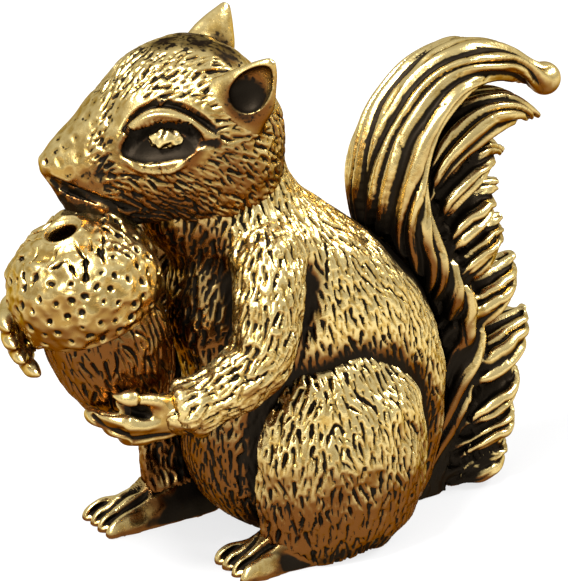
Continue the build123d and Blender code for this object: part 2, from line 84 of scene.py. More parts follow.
# The cap's outline from the nut's rim over the dome into the hole: (radius, height)
CAP_PROFILE = (
    (0.0, 0.15), (3.9, 0.1), (4.6, 0.0), (5.05, 0.2), (5.35, 0.8), (5.52, 1.7), (5.52, 2.7),
    (5.33, 3.8), (4.92, 4.9), (4.2, 5.8), (3.35, 6.4), (2.7, 6.55), (2.3, 6.65), (1.95, 6.95),
    (1.6, 7.15), (1.3, 7.15), (1.05, 6.95), (HOLE_RADIUS, 6.6), (HOLE_RADIUS, 0.9), (0.0, 0.8),
)

# How the hair lies: (place on the left side, way), in millimetres
HAIR_MARKS = {
    "torso": (
        ((0, 3, 31), (0, 0.75, -0.65)),
        ((5, 5, 27), (0.1, 0.65, -0.75)),
        ((6, 9, 20), (0.1, 0.35, -1)),
        ((6, 12, 12), (0, 0.05, -1)),
        ((4, 12, 4), (0, -0.1, -1)),
        ((7, -3, 27), (0, -0.1, -1)),
        ((8, 2, 20), (0, 0.3, -1)),
        ((5, -8, 22), (0, -0.35, -1)),
        ((3, -8, 12), (0, -0.1, -1)),
        ((7, -3, 6), (0, 0.2, -1)),
    ),
    "head": (
        ((0, -20, 34), (0, 1, 0.6)),
        ((1, -14, 37), (0, 1, 0.45)),
        ((0, -7, 39), (0, 1, -0.1)),
        ((5, -12, 31), (0.2, 0.9, -0.55)),
        ((5, -8, 30), (0.1, 0.7, -0.75)),
        ((6, -8, 37), (0, 1, 0.1)),
        ((6, -5, 33), (0, 1, -0.5)),
        ((3, -1, 33), (0, 0.6, -0.9)),
        ((0, -1, 37), (0, 0.9, -0.6)),
    ),
    "haunch": (
        ((8, -6, 11), (0.1, -0.5, -1)),
        ((8, -5, 5), (0, 0.1, -1)),
        ((10, 1, 10), (0.1, 0.15, -1)),
        ((9, 2, 15), (0.3, 0.25, -0.9)),
        ((8, 7, 11), (0.1, 0.5, -1)),
        ((9, 5, 4), (0, 0.05, -1)),
        ((9, -1, 2), (0, 0.1, -1)),
    ),
    "arm": (
        ((6, -5, 26), (0.1, -0.1, -1)),
        ((8, -5, 20), (0.1, -0.25, -1)),
        ((8, -9, 16), (-0.1, -0.8, -0.6)),
        ((7, -12, 14), (-0.25, -0.9, -0.45)),
    ),
}
# The chest and throat where they meet the acorn: middle, radii and rise
CHEST_LUMPS = (
    ((0, -9.0, 19.0), (6.0, 5.5, 8.0), 2.0),
    ((-1.0, -9.5, 26.0), (5.5, 4.5, 4.0), 1.8),
    ((-4.5, -9.0, 25.0), (4.0, 3.5, 3.5), 1.7),
)
# The head's directions, from the middle of the skull
HEAD_MIDDLE = np.array((-0.5, -7.7, 33.1))
HEAD_YAW = math.radians(18.5)
HEAD_WAYS = np.array((
    (math.cos(HEAD_YAW), -math.sin(HEAD_YAW), 0),
    (-math.sin(HEAD_YAW), -math.cos(HEAD_YAW), 0),
    (0, 0, 1),
))
# Spots on the head without hair, (side, ahead, rise) and radius
BARE_FACE = (
    ((4.6, 4.9, 1.1), 2.5), ((5.3, 2.2, 1.2), 2.4), ((0, 10.6, -1.0), 3.2), ((0, 7.8, 0.8), 2.0),
    ((0, 1.6, 6.3), 1.6), ((0.9, -0.6, 6.2), 1.6), ((1.6, -2.4, 5.4), 1.7), ((1.4, 8.6, -3.4), 2.4),
)
# Lines on the face, from the eye's front corner or from the nose to the back
EYE_SLIT = (
    (4.3, 5.9, -0.1), (4.4, 5.3, 0.8), (4.7, 4.5, 1.45), (5.0, 3.6, 1.75), (5.4, 2.7, 1.75),
    (5.7, 1.8, 1.4), (6.0, 1.0, 0.7),
)
LID_FOLD = (
    (4.0, 6.1, 1.0), (4.1, 5.4, 2.3), (4.4, 4.3, 3.15), (4.8, 3.0, 3.35), (5.4, 1.7, 2.95),
    (5.9, 0.4, 2.0), (6.0, -0.4, 1.2),
)
UPPER_LID = (
    (4.1, 6.3, 0.0), (4.0, 5.9, 0.9), (4.4, 5.1, 1.9), (4.8, 3.9, 2.55), (5.3, 2.7, 2.6),
    (5.7, 1.6, 2.2), (6.0, 0.6, 1.3),
)
LOWER_LID = (
    (4.5, 6.0, -0.7), (5.0, 5.2, -1.3), (5.4, 4.1, -1.5), (5.8, 2.7, -1.2), (6.1, 1.5, -0.3),
)
EYE_CORNER = ((5.9, 1.1, 0.5), (6.0, 0.3, 0.6), (5.9, -0.6, 0.5))
MOUTH = (
    (0.9, 10.9, -2.7), (1.8, 10.0, -3.1), (2.6, 8.9, -3.5), (3.2, 7.7, -3.9), (3.7, 6.4, -4.3),
    (3.9, 5.4, -4.6),
)
NOSTRIL = ((0.6, 11.1, -1.5), (0.9, 10.9, -1.8))
# How wide, high and sooty each line is
FACE_LINES = (
    ((0.60, -0.55, 1.3), EYE_SLIT),
    ((0.45, -0.45, 1.1), LID_FOLD),
    ((0.40, 0.34, 0.0), UPPER_LID),
    ((0.34, 0.16, 0.0), LOWER_LID),
    ((0.42, -0.16, 0.9), EYE_CORNER),
    ((0.45, -0.36, 1.1), MOUTH),
    ((0.30, -0.22, 0.9), NOSTRIL),
)
# Black in the eye sockets; painted shade under the jaw and on the crown: place, radius and strength
FACE_DARK_SPOTS = (
    ((4.3, 4.9, 0.1), 1.5, 1.3), ((4.6, 3.4, 0.3), 1.7, 1.5), ((5.3, 2.0, 0.4), 1.5, 1.3),
    ((1.2, 8.6, -5.2), 2.8, 1.3), ((2.5, 5.4, -5.6), 2.8, 1.1), ((3.6, 2.4, -5.8), 2.8, 0.9),
    ((3.0, 7.0, -2.2), 1.6, 0.5),
    ((0, 3.8, 5.9), 1.3, 0.8), ((0, 2.0, 6.3), 1.7, 1.05), ((0.8, 0.0, 6.3), 1.7, 1.10),
    ((1.6, -1.9, 5.7), 1.8, 1.10),
)

# The tail's ways as shares of its reach and height, from the root to the tips
TAIL_ROOT, TAIL_REACH, TAIL_HEIGHT = 12.3, 11.4, 35.6
TAIL_HALF_WIDTH, TAIL_HALF_DEPTH = 4.3, 1.85
TAIL_CORE = (
    (0.12, -0.02), (0.15, 0.18), (0.11, 0.38), (-0.10, 0.56), (-0.31, 0.73), (-0.20, 0.855),
    (0.14, 0.93), (0.60, 0.92), (0.93, 0.868),
)
TAIL_LOCKS = (
    ((-0.25, 0.62), (-0.05, 0.73), (0.23, 0.81), (0.51, 0.83), (0.74, 0.81), (0.91, 0.785)),
    ((-0.18, 0.58), (0.00, 0.67), (0.23, 0.725), (0.45, 0.74), (0.61, 0.73)),
    ((-0.12, 0.52), (0.08, 0.585), (0.33, 0.635), (0.57, 0.665)),
    ((-0.05, 0.455), (0.18, 0.51), (0.42, 0.55), (0.61, 0.585)),
    ((0.00, 0.35), (0.27, 0.40), (0.52, 0.44), (0.71, 0.49)),
    ((0.09, 0.225), (0.33, 0.26), (0.60, 0.305), (0.82, 0.36)),
    ((0.09, 0.135), (0.33, 0.175), (0.56, 0.215), (0.69, 0.275)),
    ((0.08, 0.07), (0.31, 0.095), (0.52, 0.135), (0.65, 0.195)),
    ((0.05, 0.03), (0.26, 0.035), (0.47, 0.06), (0.60, 0.11)),
)
# Sections of the core and of a lock: share of the way, half width and half depth, the last two
# as shares of the tail's own
CORE_SECTIONS = (
    (0.00, 0.62, 1.75), (0.20, 0.78, 1.45), (0.40, 0.95, 1.30), (0.60, 1.00, 1.23),
    (0.78, 0.86, 1.00), (0.92, 0.50, 0.73), (1.00, 0.28, 0.66),
)
LOCK_SECTIONS = (
    (0.00, 0.50, 0.80), (0.25, 0.76, 0.95), (0.50, 0.86, 1.00), (0.70, 0.74, 0.85),
    (0.86, 0.44, 0.52), (0.95, 0.22, 0.26), (1.00, 0.08, 0.09),
)
STRAND_WIDTH = 1.5  # across one lock of the tail's hair, between two grooves
# Lines of the left paw, from the tips to the wrist
THUMB = ((4.2, -18.0, 16.2), (5.4, -17.2, 16.1), (5.9, -15.8, 15.9), (6.7, -14.5, 15.6))
THUMB_GAP = ((4.0, -18.3, 15.5), (5.0, -17.6, 15.3), (5.9, -16.7, 15.0), (6.6, -15.6, 14.7))
FINGER = ((2.2, -19.2, 15.2), (4.2, -18.2, 14.5), (5.8, -16.9, 14.0), (6.8, -15.0, 13.9))
FINGER_GAP = ((2.6, -19.0, 14.5), (4.4, -17.5, 13.2), (6.0, -16.4, 12.9), (6.9, -14.1, 12.9))
# How wide, high and sooty each line is
PAW_LINES = (
    ((0.75, 0.55, 0.0), THUMB),
    ((0.70, -0.75, 1.2), THUMB_GAP),
    ((0.60, 0.30, 0.0), FINGER),
    ((0.42, -0.35, 1.0), FINGER_GAP),
)
# Each foot's heel and its turn, and the groove between two toes: (sideways, ahead, height)
HEELS = {"left": ((5.6, 1.4, 0.0), -2.0), "right": ((-6.1, -2.9, 0.0), -3.0)}
TOE_GROOVE = (
    (0.55, 3.4, 2.9), (0.78, 5.2, 2.4), (0.95, 7.0, 1.8), (1.08, 8.8, 1.3), (1.20, 10.2, 0.6),
)
TOE_LINE = (0.40, -0.36, 1.1)  # its width, height and soot
# Painted shade on the chest behind the acorn and between the legs: place, radius and strength
BODY_SHADE = (
    ((0, -8.5, 25.5), 5.5, 0.80), ((3.0, -9.0, 20.0), 4.8, 1.00), ((-3.0, -9.0, 20.0), 4.8, 1.00),
    ((0, -9.0, 14.0), 5.0, 0.60), ((0, -7.0, 5.0), 7.0, 0.75), ((4.5, -6.0, 3.0), 3.5, 0.6),
)

# Points on the two largest castings lie further apart, by this factor, than on the others
LARGE = 1.13
EYE_PITCH, EAR_PITCH, CAP_PITCH = 0.06, 0.08, 0.09
# How far a surface is smoothed, and in what depth, to find narrow hollows and wide valleys
HOLLOW_TIMES, HOLLOW_DEPTH = 14, 0.07
VALLEY_TIMES, VALLEY_DEPTH = 70, 0.22
EDGE_TINT = (0.5, 0.4, 0.25)  # of the metal seen edge on, which keeps its patina dark
# The lamps: shares of up, left and towards the camera, diameter in metres and watts
LAMPS = (
    ("key", (0.9, 0.45, 0.5), 0.12, 2.7),
    ("rim", (0.7, -0.7, -0.2), 0.14, 1.3),
    ("fill", (0.3, 0.5, 1.0), 0.20, 0.5),
)
LAMP_DISTANCE = 0.42
VIEW_TARGET = (0, -0.31, 18.74)  # the middle of the view, in millimetres
SKY_LIGHT = 0.55
FLOOR_SHADE, FLOOR_GLOW = 0.93, 0.75


class SquirrelTooling(bpy.types.PropertyGroup):
    """Sizes of the hair that is cut into the castings, in millimetres."""

    pitch: bpy.props.FloatProperty(
        name="Surface pitch", description="Spacing of the points of a tooled surface", default=0.135
    )
    fine_pitch: bpy.props.FloatProperty(
        name="Fine pitch", description="Spacing on the head, paws, feet and nut", default=0.10
    )
    hair_length: bpy.props.FloatProperty(
        name="Hair length", description="Length of a cut between two hairs", default=2.0
    )
    hair_width: bpy.props.FloatProperty(
        name="Cut width", description="Half the width of a cut", default=0.185
    )
    hair_depth: bpy.props.FloatProperty(
        name="Cut depth", description="Depth of a cut", default=0.25
    )
    hair_gap: bpy.props.FloatProperty(
        name="Hair gap", description="Least distance between cuts side by side", default=0.52
    )


class SquirrelFinish(bpy.types.PropertyGroup):
    """Colours of the brass, of its patina and of its painted shade."""

    gold: bpy.props.FloatVectorProperty(
        name="Polished brass", description="Colour where the brass is polished", subtype="COLOR",
        default=(0.66, 0.43, 0.11),
    )
    # Pale worn brass, mixed in only where lit, so partly a painted highlight on the upper sides
    pale: bpy.props.FloatVectorProperty(
        name="Worn brass", description="Colour of the most worn places", subtype="COLOR",
        default=(0.90, 0.70, 0.30),
    )
    # Painted shade: brown on the sides that face down, in recesses and low down
    shade_brown: bpy.props.FloatVectorProperty(
        name="Shade brown", description="Colour of the sides that face down", subtype="COLOR",
        default=(0.165, 0.060, 0.013),
    )
    # Black for the patina in cuts and hollows, and for painted shade in recesses and near castings
    black: bpy.props.FloatVectorProperty(
        name="Patina", description="Colour in the cuts and hollows", subtype="COLOR",
        default=(0.020, 0.015, 0.010),
    )


class SquirrelStage(bpy.types.PropertyGroup):
    """The floor, the light and the place of the camera."""

    azimuth: bpy.props.FloatProperty(
        name="Azimuth", description="Turn of the camera round the figure", subtype="ANGLE",
        default=math.radians(57),
    )
    elevation: bpy.props.FloatProperty(
        name="Elevation", description="Height of the camera above the horizon", subtype="ANGLE",
        default=math.radians(22),
    )
    distance: bpy.props.FloatProperty(
        name="Distance", description="From the camera to the figure", unit="LENGTH", default=0.300
    )
    lens: bpy.props.FloatProperty(
        name="Focal length", description="In millimetres on a 36 mm sensor", default=252.8
    )
    floor_radius: bpy.props.FloatProperty(
        name="Floor radius", description="Radius of the pale floor", unit="LENGTH", default=4.0
    )


def tooling():
    """The sizes that the panel shows."""
    return bpy.context.scene.squirrel_tooling


def unit(ways):
    """The same ways with length one."""
    return ways / np.maximum(np.linalg.norm(ways, axis=-1, keepdims=True), 1e-9)


def step(low, high, values):
    """Rises smoothly from 0 at low to 1 at high."""
    share = np.clip((values - low) / (high - low), 0, 1)
    return share * share * (3 - 2 * share)


def at_shares(shares, stops, columns):
    """The columns' values at shares of the way, where their rows stand at the stops."""
    return np.stack([np.interp(shares, stops, column) for column in columns.T], axis=1)


def smooth_line(points, count):
    """A smooth line through points, as count places."""
    points = np.asarray(points, float)
    padded = np.vstack((2 * points[0] - points[1], points, 2 * points[-1] - points[-2]))
    line = []
    for share in np.linspace(0, len(points) - 1, count):
        span = min(int(share), len(points) - 2)
        t = share - span
        a, b, c, d = padded[span:span + 4]
        line.append(
            b + 0.5 * t * (c - a + t * (2 * a - 5 * b + 4 * c - d + t * (3 * (b - c) + d - a)))
        )
    return np.array(line)


class Cells:
    """Points sorted into cubes, to find those near a place."""

    def __init__(self, points, size):
        self.size = size
        self.low = points.min(axis=0)
        cells = self.cells(points)
        self.shape = cells.max(axis=0) + 2
        keys = np.ravel_multi_index(cells.T, self.shape)
        self.order = np.argsort(keys, kind="stable")
        self.keys = keys[self.order]

    def cells(self, points):
        """The cube of each point."""
        return np.floor((points - self.low) / self.size).astype(int) + 1

    def near(self, place):
        """Numbers of the points in the cube of place and in those round it."""
        cell = self.cells(place)
        if (cell < 1).any() or (cell > self.shape - 2).any():
            return np.empty(0, int)
        found = []
        for x, y in product((-1, 0, 1), repeat=2):
            first = np.ravel_multi_index(cell + (x, y, -1), self.shape)
            low, high = np.searchsorted(self.keys, (first, first + 3))
            found.append(self.order[low:high])
        return np.concatenate(found)


class Crowding:
    """How much metal surrounds a place, from a coarse grid over the whole figure."""

    close_blurs, wide_blurs = 7, 36
    close_step, wide_step = 0.7, 1.6  # out from the surface to where the grid is read

    def __init__(self, pitch=0.5, margin=8.0):
        low = np.array(CAD_BOX[0]) / MM - margin
        high = np.array(CAD_BOX[1]) / MM + margin
        self.pitch, self.low = pitch, low
        count = np.ceil((high - low) / pitch).astype(int)
        metal = np.zeros(count, np.float32)
        heights = low[2] + pitch * np.arange(count[2])
        metal[:, :, heights < 0] = 1
        for name in frame["nodes"]:
            tree = tree_of(name)
            corners = np.array([list(corner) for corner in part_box(name)]) / MM
            first, last = np.round((corners - low) / pitch).astype(int)
            for i, j in product(range(first[0], last[0] + 1), range(first[1], last[1] + 1)):
                start = (low[0] + pitch * i, low[1] + pitch * j, corners[0][2] - 1.0)
                crossings = self.crossings(tree, start)
                for start, end in zip(crossings[::2], crossings[1::2]):
                    metal[i, j, (heights > start) & (heights < end)] = 1
        self.close = self.spread(metal, self.close_blurs)
        self.wide = self.spread(self.close, self.wide_blurs)

    @staticmethod
    def crossings(tree, start):
        """Heights at which an upright line from start passes through one solid's surface."""
        (x, y, height), found = start, []
        while True:
            hit = tree.ray_cast((x, y, height), (0, 0, 1))[0]
            if hit is None:
                return found
            found.append(hit.z)
            height = hit.z + 0.01

    @staticmethod
    def spread(values, times):
        """Blurs a grid that many times."""
        for _ in range(times):
            for axis in range(3):
                values = (np.roll(values, 1, axis) + 2 * values + np.roll(values, -1, axis)) / 4
        return values

    def sample(self, grid, places):
        """The grid's value at each place."""
        cells = np.clip((places - self.low) / self.pitch, 0, np.array(grid.shape) - 2)
        base = cells.astype(int)
        part = cells - base
        total = 0
        for corner in product((0, 1), repeat=3):
            weight = np.prod(np.where(corner, part, 1 - part), axis=1)
            total = total + weight * grid[tuple((base + corner).T)]
        return total

    def at(self, places, normals):
        """From 0 in the open to 1 in a deep recess."""
        close = self.sample(self.close, places + normals * self.close_step)
        wide = self.sample(self.wide, places + normals * self.wide_step)
        return step(0.26, 0.62, close) * 0.6 + step(0.38, 0.66, wide) * 0.7


def tree_of(name):
    """A search tree over one solid, in millimetres."""
    mesh = frame["nodes"][name].data
    places = [vertex.co / MM for vertex in mesh.vertices]
    return BVHTree.FromPolygons(places, [tuple(face.vertices) for face in mesh.polygons])


class Skin:
    """The surface of one casting while it is worked, in millimetres."""

    def __init__(self, node, places, faces):
        self.node, self.places, self.faces = node, places, faces
        ends = np.stack((faces, np.roll(faces, -1, axis=1)), axis=-1).reshape(-1, 2)
        ends = np.sort(ends, axis=1)
        keys = np.unique(ends[:, 0] * len(places) + ends[:, 1])
        self.first, self.second = keys // len(places), keys % len(places)
        self.degree = self.gathered(np.ones(len(places)))
        self.cut = np.zeros(len(places))
        self.patina_and_shade = np.zeros(len(places))

    @classmethod
    def of_node(cls, name, pitch):
        """An even quad surface over one solid."""
        copy = bpy.data.objects.new("blank", frame["nodes"][name].data.copy())
        bpy.context.scene.collection.objects.link(copy)
        even = copy.modifiers.new("even", "REMESH")
        even.mode = "VOXEL"
        even.voxel_size = pitch * MM
        depsgraph = bpy.context.evaluated_depsgraph_get()
        mesh = bpy.data.meshes.new_from_object(copy.evaluated_get(depsgraph))
        places = np.empty(len(mesh.vertices) * 3)
        mesh.vertices.foreach_get("co", places)
        corners = np.empty(len(mesh.loops), np.int32)
        mesh.loops.foreach_get("vertex_index", corners)
        old = copy.data
        bpy.data.objects.remove(copy)
        bpy.data.meshes.remove(old)
        bpy.data.meshes.remove(mesh)
        return cls(name, places.reshape(-1, 3) / MM, corners.reshape(-1, 4).astype(np.int64))

    @classmethod
    def lathed(cls, name, profile, origin, axis, pitch):
        """A surface for one solid, turned from (radius, height) points about an axis."""
        lengths = np.concatenate(([0], np.cumsum(np.linalg.norm(np.diff(profile, axis=0), axis=1))))
        steps = np.linspace(0, lengths[-1], int(lengths[-1] / pitch))
        radii = np.interp(steps, lengths, profile[:, 0])[1:-1]
        heights = np.interp(steps, lengths, profile[:, 1])[1:-1]
        count = 2 * int(math.pi * radii.max() / pitch)
        turns = 2 * math.pi * np.arange(count) / count
        side = unit(np.cross(axis, (1.0, 0.0, 0.0)))
        other = np.cross(axis, side)
        rings = (
            origin + radii[:, None, None] * (
                np.cos(turns)[None, :, None] * side + np.sin(turns)[None, :, None] * other
            ) + heights[:, None, None] * axis
        )
        places = rings.reshape(-1, 3)
        number = np.arange(len(places)).reshape(len(radii), count)
        after = np.roll(number, -1, axis=1)
        faces = np.stack((number[:-1], after[:-1], after[1:], number[1:]), axis=-1).reshape(-1, 4)
        ends = [origin + axis * profile[k, 1] for k in (0, -1)]
        places = np.vstack((places, ends))
        for ring, tip, turned in ((0, len(places) - 2, True), (-1, len(places) - 1, False)):
            start, middle = number[ring][0::2], number[ring][1::2]
            end = np.roll(start, -1)
            caps = np.stack((np.full(len(start), tip), start, middle, end), axis=-1)
            faces = np.vstack((faces, caps[:, ::-1] if turned else caps))
        return cls(name, places, faces)

    def gathered(self, values):
        """Each point's sum of its neighbours' values."""
        count = len(self.places)
        return np.bincount(self.first, values[self.second], count) + np.bincount(
            self.second, values[self.first], count
        )

    def relaxed(self, values, times):
        """Values averaged over neighbouring points, over and over."""
        values = values.copy()
        for _ in range(times):
            mean = np.stack([self.gathered(column) / self.degree for column in values.T], axis=1)
            values = (values + mean) / 2
        return values

    def relax(self, times):
        """Smooths the surface."""
        self.places = self.relaxed(self.places, times)

    def normals(self):
        """Outward ways at the points."""
        a, b, c, d = (self.places[self.faces[:, k]] for k in range(4))
        square = np.cross(c - a, d - b)
        total = np.empty_like(self.places)
        for axis in range(3):
            total[:, axis] = sum(
                np.bincount(self.faces[:, k], square[:, axis], len(self.places)) for k in range(4)
            )
        return unit(total)

    def push(self, heights):
        """Raises the surface along its normals."""
        self.places = self.places + self.normals() * heights[:, None]

    def swell(self, middle, radii, height):
        """Raises a soft lump."""
        gap = np.linalg.norm((self.places - middle) / radii, axis=1)
        self.push(height * step(-1, 0, -gap))

    def calm(self, base, share):
        """Brings the surface back to the smooth base by that share at each point."""
        self.places = self.places + (base - self.places) * share[:, None]
        self.cut = self.cut * (1 - share)

    def taper(self, root, tip, amount):
        """Draws a casting out to a point at its tip."""
        axis = unit(tip - root)
        along = (self.places - root) @ axis
        share = along / np.linalg.norm(tip - root)
        foot = root + along[:, None] * axis
        keep = 1 - amount * step(0.1, 1.15, share)
        self.places = foot + (self.places - foot) * keep[:, None]

    def near(self, name, reach):
        """How near each point is to another casting: 0 at reach, 1 where they touch."""
        tree = tree_of(name)
        low, high = (np.array(list(corner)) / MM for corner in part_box(name))
        close = ((self.places > low - reach) & (self.places < high + reach)).all(axis=1)
        share = np.zeros(len(self.places))
        for index in np.nonzero(close)[0]:
            gap = tree.find_nearest(self.places[index], reach)[3]
            if gap is not None:
                share[index] = 1 - gap / reach
        return share

    def weld(self, name, reach, height, floor=-9.0):
        """Raises a fillet towards a neighbouring casting, above the height of floor."""
        share = self.near(name, reach) * step(floor, floor + 3, self.places[:, 2])
        self.push(height * share**2)

    def shade(self, name, reach, patina_and_shade, ceiling=60.0):
        """Paints shade near another casting: blackens the surface below the height of ceiling."""
        share = self.near(name, reach) * step(-ceiling, 3 - ceiling, -self.places[:, 2])
        self.patina_and_shade = np.maximum(self.patina_and_shade, patina_and_shade * step(0.05, 0.7, share))
        return share

    def undercut(self, name, reach, patina_and_shade, depth, centre, ceiling=60.0):
        """Paints shade near another casting and sinks the surface there towards a centre."""
        sink = depth * step(0, 0.8, self.shade(name, reach, patina_and_shade, ceiling))
        self.places = self.places + unit(np.array(centre) - self.places) * sink[:, None]

    def blacken(self, spots):
        """Lays black on round spots, both patina and painted shade: place, radius and strength."""
        for place, radius, strength in spots:
            gap = np.linalg.norm(self.places - place, axis=1) / radius
            self.patina_and_shade = np.maximum(self.patina_and_shade, strength * step(-1.25, -0.5, -gap))

    def line(self, points, width, height, patina_and_shade=0.0):
        """Raises a ridge, or sinks a groove, along a smooth line near the surface."""
        way = smooth_line(points, 50)
        reach = width + 0.9
        close = (self.places > way.min(axis=0) - reach) & (self.places < way.max(axis=0) + reach)
        index = np.nonzero(close.all(axis=1))[0]
        if not len(index):
            return
        gaps = self.places[index, None] - way[None]
        nearest = (gaps**2).sum(axis=2).argmin(axis=1)
        gap = gaps[np.arange(len(index)), nearest]
        above = (gap * self.normals()[index]).sum(axis=1)
        aside = np.sqrt(np.maximum((gap**2).sum(axis=1) - above**2, 0)) / width
        ends = np.minimum(nearest, len(way) - 1 - nearest) / (len(way) * 0.2)
        shape = np.clip(1 - aside**2, 0, 1) ** 2 * np.clip(ends + 0.2, 0, 1) * (abs(above) < 1.2)
        lift = np.zeros(len(self.places))
        lift[index] = height * shape
        self.push(lift)
        self.patina_and_shade[index] = np.maximum(self.patina_and_shade[index], patina_and_shade * step(0.05, 0.5, shape))

    def punch(self, starts, normals, radius, depth, dice):
        """Sinks small round dents of uneven size."""
        cells = Cells(self.places, radius * 2)
        sunk = np.zeros(len(self.places))
        for place, normal in zip(starts, normals):
            near = cells.near(place)
            off = self.places[near] - place
            above = off @ normal
            long = unit(np.cross(normal, dice.standard_normal(3)))
            aside = off @ long
            across = np.sqrt(np.maximum((off**2).sum(axis=1) - above**2 - aside**2, 0))
            wide = radius * dice.uniform(0.7, 1.25)
            gap = np.hypot(aside / (wide * dice.uniform(1.0, 1.35)), across / wide)
            sink = depth * dice.uniform(0.7, 1.2) * np.clip(1 - gap**2, 0, 1)
            sunk[near] = np.maximum(sunk[near], sink * (abs(above) < 0.8))
        self.push(-sunk)
        self.cut = np.maximum(self.cut, step(0.25, 0.8, sunk / depth))

    def wobble(self, size, height, seed):
        """Uneven casting: soft lumps of that size and height."""
        shift = Vector((seed * 7.1, seed * 3.3, seed * 5.7))
        lumps = [noise.noise(Vector(place) / size + shift) for place in self.places]
        self.push(height * np.array(lumps))

    def scatter(self, ways, bare, along, across, dice, tries=14):
        """Chooses points for cuts, closer side by side than end to end."""
        normals = self.normals()
        ways = unit(ways - normals * (ways * normals).sum(axis=1, keepdims=True))
        sides = np.cross(normals, ways)
        area = np.linalg.norm(
            np.cross(
                self.places[self.faces[:, 2]] - self.places[self.faces[:, 0]],
                self.places[self.faces[:, 3]] - self.places[self.faces[:, 1]],
            ),
            axis=1,
        ).sum() / 2
        count = min(len(self.places), int(tries * area / (along * across)))
        order = dice.permutation(len(self.places))[:count]
        for spot, radius in bare:
            gaps = np.linalg.norm(self.places[order] - spot, axis=1)
            order = order[gaps > radius * (1 + 0.12 * dice.standard_normal(len(order)))]
        boxes, kept = {}, []
        for index, (x, y, z), (a, b, c), (d, e, f) in zip(
            order.tolist(), self.places[order].tolist(), ways[order].tolist(), sides[order].tolist()
        ):
            box = (int(x // along), int(y // along), int(z // along))
            free = True
            for i, j, k in product((-1, 0, 1), repeat=3):
                for u, v, w in boxes.get((box[0] + i, box[1] + j, box[2] + k), ()):
                    u, v, w = u - x, v - y, w - z
                    ahead, aside = (u * a + v * b + w * c) / along, (u * d + v * e + w * f) / across
                    if ahead * ahead + aside * aside < 1 and u * u + v * v + w * w < along * along:
                        free = False
                        break
                if not free:
                    break
            if free:
                boxes.setdefault(box, []).append((x, y, z))
                kept.append(index)
        return np.array(kept), normals, ways

    def spread_over(self, gap, dice, middle=None, radius=0.0):
        """Points at least that far apart, all over or round one place, with their normals."""
        normals = self.normals()
        order = dice.permutation(len(self.places))[:9000]
        if middle is not None:
            order = order[np.linalg.norm(self.places[order] - middle, axis=1) < radius]
        kept = np.empty((0, 3))
        chosen = []
        for index in order:
            place = self.places[index]
            if not len(kept) or ((kept - place) ** 2).sum(axis=1).min() > gap**2:
                kept = np.vstack((kept, place))
                chosen.append(index)
        return kept, normals[chosen]

    def part_strands(self):
        """Parts the tail into strands that fan from its front along the core and the locks."""
        count = len(self.places)
        best, crease = np.full(count, 1e9), np.full(count, 1e9)
        groove, fine = np.zeros(count), np.zeros(count)
        ways = np.zeros((count, 3))
        uneven = np.array([noise.noise(Vector(place) / 5.0) for place in self.places])
        limbs = [(TAIL_CORE, CORE_SECTIONS, 0.5)]
        limbs += [(path, LOCK_SECTIONS, 0.1) for path in TAIL_LOCKS]
        for number, (path, sections, lean) in enumerate(limbs):
            line = smooth_line(np.array(path) * (TAIL_REACH, TAIL_HEIGHT) + (TAIL_ROOT, 0), 90)
            heading = unit(np.gradient(line, axis=0))
            sizes = np.array(sections)
            stride = np.linalg.norm(np.gradient(line, axis=0), axis=1)
            gaps = self.places[:, None, 1:] - line[None]
            nearest = (gaps**2).sum(axis=2).argmin(axis=1)
            past = (gaps[np.arange(count), nearest] * heading[nearest]).sum(axis=1)
            past = np.clip(past / stride[nearest], -0.6, 0.6)
            share = np.clip((nearest + past) / (len(line) - 1), 0, 1)
            shares = np.linspace(0, 1, len(line))
            head = unit(at_shares(share, shares, heading))
            fanned = np.cumsum(lean * step(-0.68, -0.42, -shares) * stride)
            gap = self.places[:, 1:] - at_shares(share, shares, line)
            aside = gap[:, 1] * head[:, 0] - gap[:, 0] * head[:, 1]
            width, depth = at_shares(share, sizes[:, 0], sizes[:, 1:]).T
            width, depth = width * TAIL_HALF_WIDTH, depth * TAIL_HALF_DEPTH
            over, front = self.places[:, 0] / width, aside / depth
            apart = np.abs(np.hypot(over, front) - 1)
            turn = np.arctan2(np.abs(over), front)
            bent = np.minimum(turn, math.pi - turn)
            quarter = width + 0.5 * depth
            round_it = width * np.sin(bent) + 0.5 * depth * (1 - np.cos(bent))
            round_it = np.where(turn > math.pi / 2, 2 * quarter - round_it, round_it)
            place = round_it - np.interp(share, shares, fanned) + 0.9 * uneven + 0.7 * number
            place = place + 0.25 * np.sin(place * 2.1)
            fade = step(0.0, 0.06, share) * step(-1.0, -0.93, -share)
            off = np.abs((place / STRAND_WIDTH + 0.5) % 1 - 0.5) * STRAND_WIDTH
            off_fine = np.abs((place / STRAND_WIDTH * 2) % 1 - 0.5) * STRAND_WIDTH / 2
            closer = apart < best
            crease = np.where(closer, best, np.minimum(crease, apart))
            groove = np.where(closer, np.exp(-((off / 0.27) ** 2)) * fade, groove)
            fine = np.where(closer, np.exp(-((off_fine / 0.13) ** 2)) * fade, fine)
            ways[closer] = np.stack((0 * head[:, 0], head[:, 0], head[:, 1]), axis=1)[closer]
            best = np.minimum(best, apart)
        crease = step(-0.34, -0.05, -crease)
        fine = fine * step(-0.1, 0.25, uneven) * (1 - groove)
        self.push(-0.52 * groove - 0.16 * fine - 0.25 * crease)
        self.cut = np.maximum(self.cut, step(0.12, 0.7, groove))
        self.cut = np.maximum(self.cut, np.maximum(crease, 0.8 * step(0.3, 0.9, fine)))
        self.hair(ways, (), 1.0, dice_for(19), ((1.7, 1.5, 0.22),))

